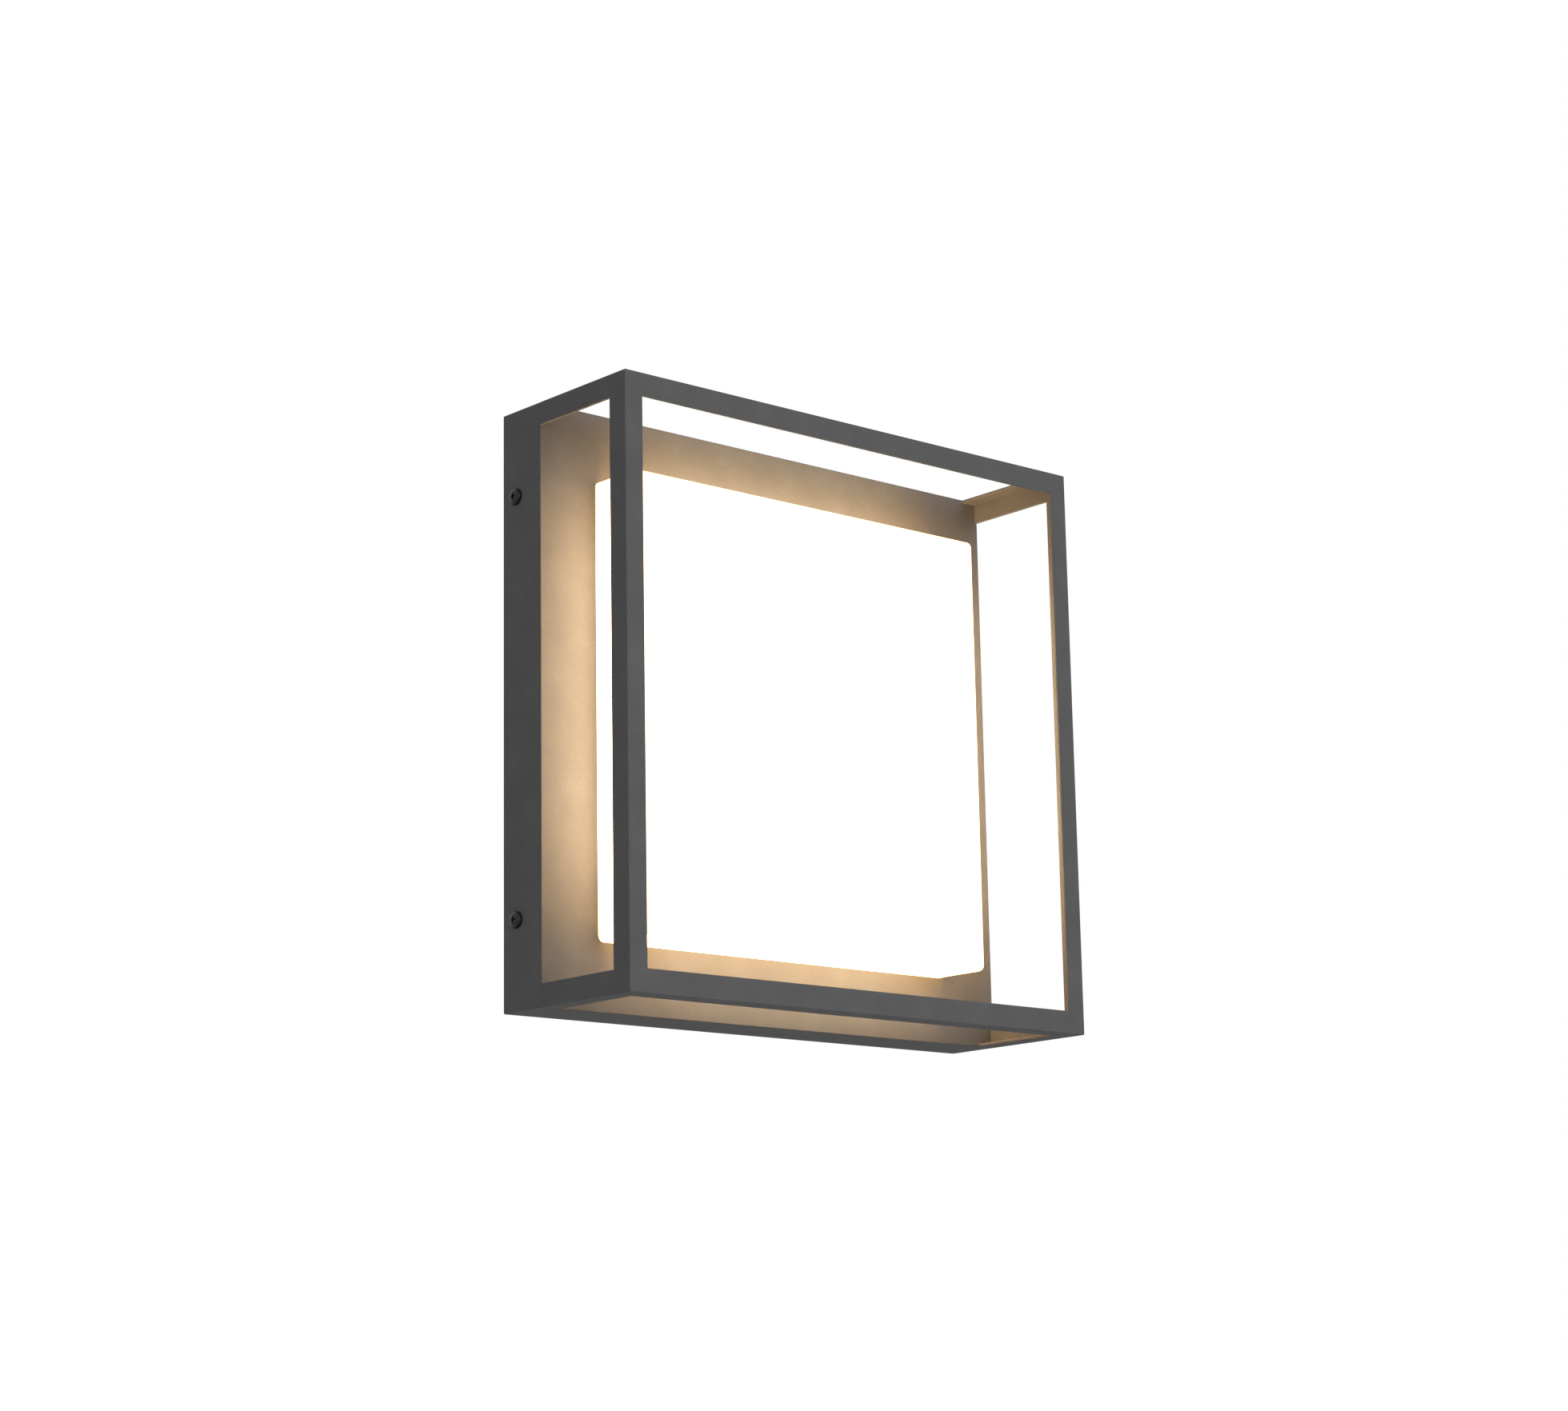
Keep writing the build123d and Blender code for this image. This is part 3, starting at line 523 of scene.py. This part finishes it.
def makeTray():
    setting = {
        "sheet": 1.5 * mm, "fold": 0.6 * mm, "frontEdge": 0.45 * mm,
        "opening": 192.6 * mm, "openingCorner": 2.8 * mm, "openingEdge": 0.35 * mm, "segments": 3,
    }
    shape = boxShell(trayLow, trayHigh)
    front = [f for f in shape.faces if f.normal.y < -squareOn]
    rim = list(front[0].edges)
    bmesh.ops.delete(shape, geom=front, context="FACES_ONLY")
    hole = roundedLoop(
        shape, setting["opening"], setting["opening"], setting["openingCorner"], trayLow.y)
    bmesh.ops.triangle_fill(shape, use_beauty=True, edges=rim + hole)
    bmesh.ops.recalc_face_normals(shape, faces=shape.faces)
    # the front edges are split where the cage bars stand, so that those stretches stay flush with the bars
    for side in (-1, 1):
        split(shape, (side * (trayHigh.x - barFaceX), 0, 0), (1, 0, 0))
        split(shape, (0, 0, side * (trayHigh.z - barFaceZ)), (0, 0, 1))
    shape = thickened(shape, "housing_tray.skin", coat, setting["sheet"])

    def isOuter(point):
        return max(abs(point.x) - trayHigh.x, abs(point.z) - trayHigh.z) > -near

    def onFold(edge):
        points = [v.co for v in edge.verts]
        return all(abs(abs(p.x) - trayHigh.x) < near and abs(abs(p.z) - trayHigh.z) < near for p in points)

    def onFront(edge):
        a, b = (v.co for v in edge.verts)
        middle = (a + b) / 2
        between = abs(middle.x) < trayHigh.x - barFaceX or abs(middle.z) < trayHigh.z - barFaceZ
        inCorner = abs(middle.x) > trayHigh.x - barFaceX and abs(middle.z) > trayHigh.z - barFaceZ
        return all(abs(p.y - trayLow.y) < merged and isOuter(p) for p in (a, b)) and between and not inCorner

    def onHole(edge):
        points = [v.co for v in edge.verts]
        return all(abs(p.y - trayLow.y) < merged and not isOuter(p) for p in points)

    bevelEdges(shape, outerEdges(shape, keep=onFold), setting["fold"], setting["segments"])
    bevelEdges(shape, outerEdges(shape, keep=onFront), setting["frontEdge"], setting["segments"])
    bevelEdges(shape, outerEdges(shape, keep=onHole), setting["openingEdge"], setting["segments"])
    piece = newPiece("housingTray", shape, coat)
    return finish(piece, "housing_tray")


makeTray()
print("tray made")


# Cage: one shell of angle section with five windows, cut into its eight bars at the weld seams

def makeCage():
    setting = {"wall": 1.5 * mm, "edge": 0.5 * mm, "segments": 3, "flat": math.radians(0.5)}
    low = Vector((trayLow.x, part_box("front_rail_top")[0].y, trayLow.z))
    high = Vector((trayHigh.x, trayLow.y, trayHigh.z))
    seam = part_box("corner_bar_top_left")[0].y
    innerX, innerZ = high.x - barFaceX, high.z - barFaceZ
    shape = boxShell(low, high)
    for side in (-1, 1):
        split(shape, (side * innerX, 0, 0), (1, 0, 0))
        split(shape, (0, 0, side * innerZ), (0, 0, 1))
    split(shape, (0, seam, 0), (0, 1, 0))

    def inWindow(face):
        centre = face.calc_center_median()
        acrossX, acrossZ = abs(centre.x) < innerX, abs(centre.z) < innerZ
        if face.normal.y < -squareOn:
            return acrossX and acrossZ
        return centre.y > seam and (acrossX or acrossZ)

    bmesh.ops.delete(shape, geom=[f for f in shape.faces if inWindow(f)], context="FACES")
    shape = thickened(shape, "cage.skin", coat, setting["wall"])
    bmesh.ops.dissolve_limit(shape, angle_limit=setting["flat"], verts=shape.verts, edges=shape.edges)

    def atTray(edge):
        return all(abs(v.co.y - high.y) < merged for v in edge.verts)

    bevelEdges(
        shape, outerEdges(shape, keep=lambda edge: not atTray(edge)), setting["edge"], setting["segments"])

    def bar(name, node, planes):
        part = shape.copy()
        for point, normal in planes:
            split(part, point, normal, clear=True)
        bmesh.ops.remove_doubles(part, verts=part.verts, dist=merged)
        bmesh.ops.recalc_face_normals(part, faces=part.faces)
        finish(newPiece(name, part, coat), node)

    sides = {-1: ("Left", "left"), 1: ("Right", "right")}
    levels = {-1: ("Bottom", "bottom"), 1: ("Top", "top")}
    corner = Vector((high.x, 0, high.z))
    slope = Vector((barFaceX, 0, barFaceZ))
    for level, (levelName, levelNode) in levels.items():
        for side, (sideName, sideNode) in sides.items():
            bar(f"cornerBar{levelName}{sideName}", f"corner_bar_{levelNode}_{sideNode}", [
                ((0, 0, 0), (-side, 0, 0)), ((0, 0, 0), (0, 0, -level)), ((0, seam, 0), (0, -1, 0))])
    for side, (sideName, sideNode) in sides.items():
        planes = [((0, 0, 0), (-side, 0, 0))]
        for level in levels:
            point = (side * corner.x, 0, level * corner.z)
            planes.append((point, (-side * slope.z, 0, level * slope.x)))
        bar(f"frontPost{sideName}", f"front_post_{sideNode}", planes + [((0, seam, 0), (0, 1, 0))])
    for level, (levelName, levelNode) in levels.items():
        planes = [((0, 0, 0), (0, 0, -level))]
        for side in sides:
            point = (side * corner.x, 0, level * corner.z)
            planes.append((point, (side * slope.z, 0, -level * slope.x)))
        bar(f"frontRail{levelName}", f"front_rail_{levelNode}", planes + [((0, seam, 0), (0, 1, 0))])
    shape.free()


makeCage()
print("cage made")


# Diffuser: one moulded block with a flange behind the plate

def makeDiffuser():
    setting = {
        "wall": 2.0 * mm, "block": 192.0 * mm, "corner": 2.5 * mm, "frontEdge": 1.9 * mm,
        "flangeCorner": 4.0 * mm, "segments": 4,
    }
    low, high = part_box("diffuser")
    flangeFront = high.y - setting["wall"]
    shape = bmesh.new()
    block = roundedLoop(shape, setting["block"], setting["block"], setting["corner"], flangeFront)
    rim = roundedLoop(
        shape, high.x - low.x, high.z - low.z, setting["flangeCorner"], flangeFront)
    drawn = bmesh.ops.extrude_edge_only(shape, edges=block)["geom"]
    front = [v for v in drawn if isinstance(v, bmesh.types.BMVert)]
    bmesh.ops.translate(shape, vec=(0, low.y - flangeFront, 0), verts=front)
    cap = [e for e in shape.edges if all(v in front for v in e.verts)]
    bmesh.ops.contextual_create(shape, geom=cap)
    bmesh.ops.triangle_fill(shape, use_beauty=True, edges=rim + block)
    bmesh.ops.recalc_face_normals(shape, faces=shape.faces)
    shape.faces.ensure_lookup_table()
    face = min(shape.faces, key=lambda f: f.calc_center_median().y)
    if face.normal.y > 0:
        bmesh.ops.reverse_faces(shape, faces=shape.faces)
    shape = thickened(shape, "diffuser.skin", litAcrylic, setting["wall"])

    def onFront(edge):
        return all(abs(v.co.y - low.y) < merged for v in edge.verts)

    bevelEdges(shape, outerEdges(shape, keep=onFront), setting["frontEdge"], setting["segments"])
    piece = newPiece("diffuserBlock", shape, litAcrylic)
    piece.data.materials.append(dullAcrylic)
    outside = setting["block"] / 2 - setting["wall"] / 2
    for polygon in piece.data.polygons:
        centre = polygon.center
        inFlange = all(piece.data.vertices[v].co.y > flangeFront - near for v in polygon.vertices)
        inCavity = max(abs(centre.x), abs(centre.z)) < outside and centre.y > low.y + setting["wall"] / 2
        if inFlange or inCavity:
            polygon.material_index = 1
    return finish(piece, "diffuser")


makeDiffuser()
print("diffuser made")


# Screws: pan heads with a cross recess

def panScrew(setting):
    # one screw along its own Z axis, its seat at zero, spun from a half profile
    shape = bmesh.new()
    width, head, shank, tip = setting["headRadius"], setting["head"], setting["radius"], -setting["length"]
    # the dome, in shares of the head's radius and height, and the bevel at the end of the thread
    dome = [(0.0, 1.0), (0.45, 0.985), (0.72, 0.90), (0.90, 0.70), (0.985, 0.40), (1.0, 0.12), (0.97, 0.0)]
    point = 0.4 * mm
    outline = [(width * across, head * up) for across, up in dome]
    outline += [(shank, 0.0), (shank, tip + point), (shank - point, tip), (0.0, tip)]
    points = [shape.verts.new((x, 0, z)) for x, z in outline]
    edges = [shape.edges.new(pair) for pair in zip(points, points[1:])]
    bmesh.ops.spin(
        shape, geom=points + edges, cent=(0, 0, 0), axis=(0, 0, 1), dvec=(0, 0, 0),
        angle=2 * math.pi, steps=setting["steps"], use_merge=True, use_duplicate=False)
    bmesh.ops.remove_doubles(shape, verts=shape.verts, dist=merged)
    bmesh.ops.recalc_face_normals(shape, faces=shape.faces)
    return shape


def crossCutter(setting):
    # four wings that narrow towards the bottom of the recess, with their upper halves clear of the head
    shape = bmesh.new()
    wing = (setting["recessLength"], setting["recessWidth"], 2 * setting["recessDepth"])
    narrowed = (0.45, 0.7, 1)      # the bottom's share of the wing's length and width
    for turn in (0, math.pi / 2):
        made = bmesh.ops.create_cube(shape, size=1)["verts"]
        bmesh.ops.scale(shape, vec=wing, verts=made)
        low = [v for v in made if v.co.z < 0]
        bmesh.ops.scale(shape, vec=narrowed, verts=low)
        bmesh.ops.rotate(shape, cent=(0, 0, 0), matrix=Matrix.Rotation(turn, 3, "Z"), verts=made)
        bmesh.ops.translate(shape, vec=(0, 0, setting["head"]), verts=made)
    return shape


def cut(piece, cutter):
    # takes a cutter's shape out of a piece
    tool = newPiece(piece.name + ".cutter", cutter, piece.data.materials[0])
    taken = piece.modifiers.new("cut", "BOOLEAN")
    taken.operation = "DIFFERENCE"
    taken.solver = "EXACT"
    taken.use_self = True
    taken.object = tool
    settle(piece)
    bpy.data.objects.remove(tool)
    return piece


def screwSet(name, node, setting, places, towards):
    # a group of equal screws, with heads that point the way given for each place
    single = newPiece(name + ".single", panScrew(setting), materialOf[slotOf[node]])
    cut(single, crossCutter(setting))
    pattern = asShape(single)
    shape = bmesh.new()
    for place, direction in zip(places, towards):
        part = pattern.copy()
        turn = Vector(direction).to_track_quat("Z", "Y").to_matrix().to_4x4()
        bmesh.ops.transform(part, matrix=Matrix.Translation(place) @ turn, verts=part.verts)
        mesh = bpy.data.meshes.new("part")
        part.to_mesh(mesh)
        shape.from_mesh(mesh)
        bpy.data.meshes.remove(mesh)
        part.free()
    pattern.free()
    return finish(newPiece(name, shape, materialOf[slotOf[node]]), node)


def makeSideScrews():
    low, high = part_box("side_screws")
    headRadius = 3.5 * mm
    level = high.z - headRadius
    depth = (low.y + high.y) / 2
    setting = {
        "headRadius": headRadius, "head": high.x - trayHigh.x, "radius": 2.0 * mm, "length": 8.0 * mm,
        "steps": 40, "recessLength": 4.2 * mm, "recessWidth": 0.95 * mm, "recessDepth": 1.3 * mm,
    }
    places = [(side * trayHigh.x, depth, z) for side in (-1, 1) for z in (-level, level)]
    towards = [(math.copysign(1, x), 0, 0) for x, y, z in places]
    return screwSet("sideScrews", "side_screws", setting, places, towards)


def makeCoverScrews():
    low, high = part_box("cover_screws")
    headRadius = 2.75 * mm
    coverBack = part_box("rear_cover")[1].y
    x, z = high.x - headRadius, high.z - headRadius
    setting = {
        "headRadius": headRadius, "head": high.y - coverBack, "radius": 1.5 * mm, "length": coverBack - low.y,
        "steps": 32, "recessLength": 3.4 * mm, "recessWidth": 0.8 * mm, "recessDepth": 1.1 * mm,
    }
    places = [(i * x, coverBack, j * z) for i in (-1, 0, 1) for j in (-1, 0, 1) if i or j]
    return screwSet("coverScrews", "cover_screws", setting, places, [(0, 1, 0)] * len(places))


makeSideScrews()
makeCoverScrews()
print("screws made")


# Pieces that keep their CAD shape, with their edges eased

def eased(node, name, edge):
    setting = {
        "merge": 2 * merged, "flat": math.radians(0.6), "sharp": math.radians(40), "segments": 2}
    shape = bmesh.new()
    shape.from_mesh(nodes[node].data)
    bmesh.ops.remove_doubles(shape, verts=shape.verts, dist=setting["merge"])
    bmesh.ops.dissolve_limit(shape, angle_limit=setting["flat"], verts=shape.verts, edges=shape.edges)
    bevelEdges(shape, outerEdges(shape, setting["sharp"]), edge, setting["segments"])
    return finish(newPiece(name, shape, materialOf[slotOf[node]]), node)


easedPieces = {
    "wall_bracket": ("wallBracket", 0.25 * mm),
    "rear_cover": ("rearCover", 0.2 * mm),
    "gear_pan": ("gearPan", 0.3 * mm),
    "cable_grommet": ("cableGrommet", 0.4 * mm),
    "led_driver": ("ledDriver", 0.3 * mm),
    "terminal_block": ("terminalBlock", 0.25 * mm),
    "board_connector": ("boardConnector", 0.15 * mm),
    "led_board": ("ledBoard", 0.15 * mm),
    "side_nuts": ("sideNuts", 0.2 * mm),
    "pan_nuts": ("panNuts", 0.15 * mm),
    "terminal_inserts": ("terminalInserts", 0.15 * mm),
    "earth_tag": ("earthTag", 0.1 * mm),
}
for node, (name, edge) in easedPieces.items():
    eased(node, name, edge)
print("eased pieces made:", len(easedPieces))

# the CAD nodes that still show, such as the leads and gaskets, get their finish here
for node, shown in nodes.items():
    shown.data.materials.clear()
    shown.data.materials.append(materialOf[slotOf[node]])


# Floor, light and camera

def shownShare(tree):
    # 1 where the camera, a reflection or a transparent piece sees a surface, 0 where it only gives light
    ray = addNode(tree, "LightPath").outputs
    seen = addNode(tree, "Math", {0: ray["Is Camera Ray"], 1: ray["Is Glossy Ray"]}, operation="MAXIMUM")
    return addNode(tree, "Math", {
        0: seen.outputs["Value"], 1: ray["Is Transmission Ray"]}, operation="MAXIMUM").outputs["Value"]


def makeFloor():
    # pale, and paler still to the camera, with the shadow kept
    setting = {
        "level": -1.7, "size": 120.0, "colour": "#ecebe8", "roughness": 0.85, "whiteShare": 0.7}
    shape = bmesh.new()
    made = bmesh.ops.create_grid(shape, x_segments=1, y_segments=1, size=setting["size"] / 2)["verts"]
    bmesh.ops.translate(shape, vec=(0, 0, setting["level"]), verts=made)
    material, tree, shader = startMaterial(
        "studioFloor", {"Base Color": hexColour(setting["colour"]), "Roughness": setting["roughness"]})
    white = addNode(tree, "Emission", {"Color": (1, 1, 1, 1), "Strength": 1.0})
    share = addNode(tree, "Math", {0: shownShare(tree), 1: setting["whiteShare"]}, operation="MULTIPLY")
    mixed = addNode(tree, "MixShader", {
        0: share.outputs["Value"], 1: shader.outputs["BSDF"], 2: white.outputs["Emission"]})
    tree.links.new(mixed.outputs["Shader"], tree.nodes["Material Output"].inputs["Surface"])
    newPiece("studioFloor", shape, material)


def makeWorld():
    # white to the camera and in reflections; a soft light on everything else, weaker from below
    setting = {"seen": 1.0, "above": 0.28, "below": 0.20, "band": 0.5}
    world = bpy.data.worlds.new("studio")
    bpy.context.scene.world = world
    world.use_nodes = True
    tree = world.node_tree
    tree.nodes.clear()
    height = addNode(tree, "SeparateXYZ", {"Vector": addNode(tree, "TexCoord").outputs["Generated"]})
    soft = addNode(tree, "MapRange", {
        "Value": height.outputs["Z"], "From Min": -setting["band"], "From Max": setting["band"],
        "To Min": setting["below"], "To Max": setting["above"]})
    plain = addNode(tree, "Background", {"Color": (1, 1, 1, 1), "Strength": soft.outputs["Result"]})
    bright = addNode(tree, "Background", {"Color": (1, 1, 1, 1), "Strength": setting["seen"]})
    mixed = addNode(tree, "MixShader", {
        0: shownShare(tree), 1: plain.outputs["Background"], 2: bright.outputs["Background"]})
    addNode(tree, "OutputWorld", {"Surface": mixed.outputs["Shader"]})


def makeLamps():
    # wide far lamps: degrees to the right of straight in front, degrees up, and strength
    setting = {
        "keyLight": (8, 10, 1.37), "fillLight": (-45, 5, 0.66), "rearLight": (150, 35, 0.75)}
    softness = math.radians(28)
    for name, (azimuth, elevation, strength) in setting.items():
        lamp = bpy.data.lights.new(name, "SUN")
        lamp.angle = softness
        lamp.energy = strength
        turn, lift = math.radians(azimuth), math.radians(elevation)
        towards = Vector((-math.sin(turn) * math.cos(lift), math.cos(turn) * math.cos(lift), -math.sin(lift)))
        made = bpy.data.objects.new(name, lamp)
        made.rotation_euler = towards.to_track_quat("-Z", "Y").to_euler()
        bpy.context.scene.collection.objects.link(made)


def makeCamera():
    # the photograph's view: from the left and below, tilted by a degree
    setting = {
        "azimuth": 41.3472, "elevation": 12.4964, "roll": -1.0585, "lens": 78.45, "sensor": 36.0,
        "distance": 1.44563, "right": -0.00638, "up": 0.01068, "nearest": 0.01,
    }
    turn, lift, roll = (math.radians(setting[key]) for key in ("azimuth", "elevation", "roll"))
    ahead = Vector((math.sin(turn) * math.cos(lift), math.cos(turn) * math.cos(lift), math.sin(lift)))
    level = Vector((math.cos(turn), -math.sin(turn), 0))
    upright = level.cross(ahead)
    right = level * math.cos(roll) + upright * math.sin(roll)
    up = upright * math.cos(roll) - level * math.sin(roll)
    middle = Vector((0, (cadBox[0].y + cadBox[1].y) / 2, 0))
    place = middle - ahead * setting["distance"] + right * setting["right"] + up * setting["up"]
    lens = bpy.data.cameras.new("photoCamera")
    lens.lens = setting["lens"]
    lens.sensor_width = setting["sensor"]
    lens.sensor_fit = "HORIZONTAL"
    lens.clip_start = setting["nearest"]
    made = bpy.data.objects.new("photoCamera", lens)
    made.matrix_world = Matrix.Translation(place) @ Matrix((right, up, -ahead)).transposed().to_4x4()
    bpy.context.scene.collection.objects.link(made)
    bpy.context.scene.camera = made


makeFloor()
makeWorld()
makeLamps()
makeCamera()
bpy.context.scene.view_settings.view_transform = "Standard"
print("floor, light and camera made")

bpy.context.view_layer.update()
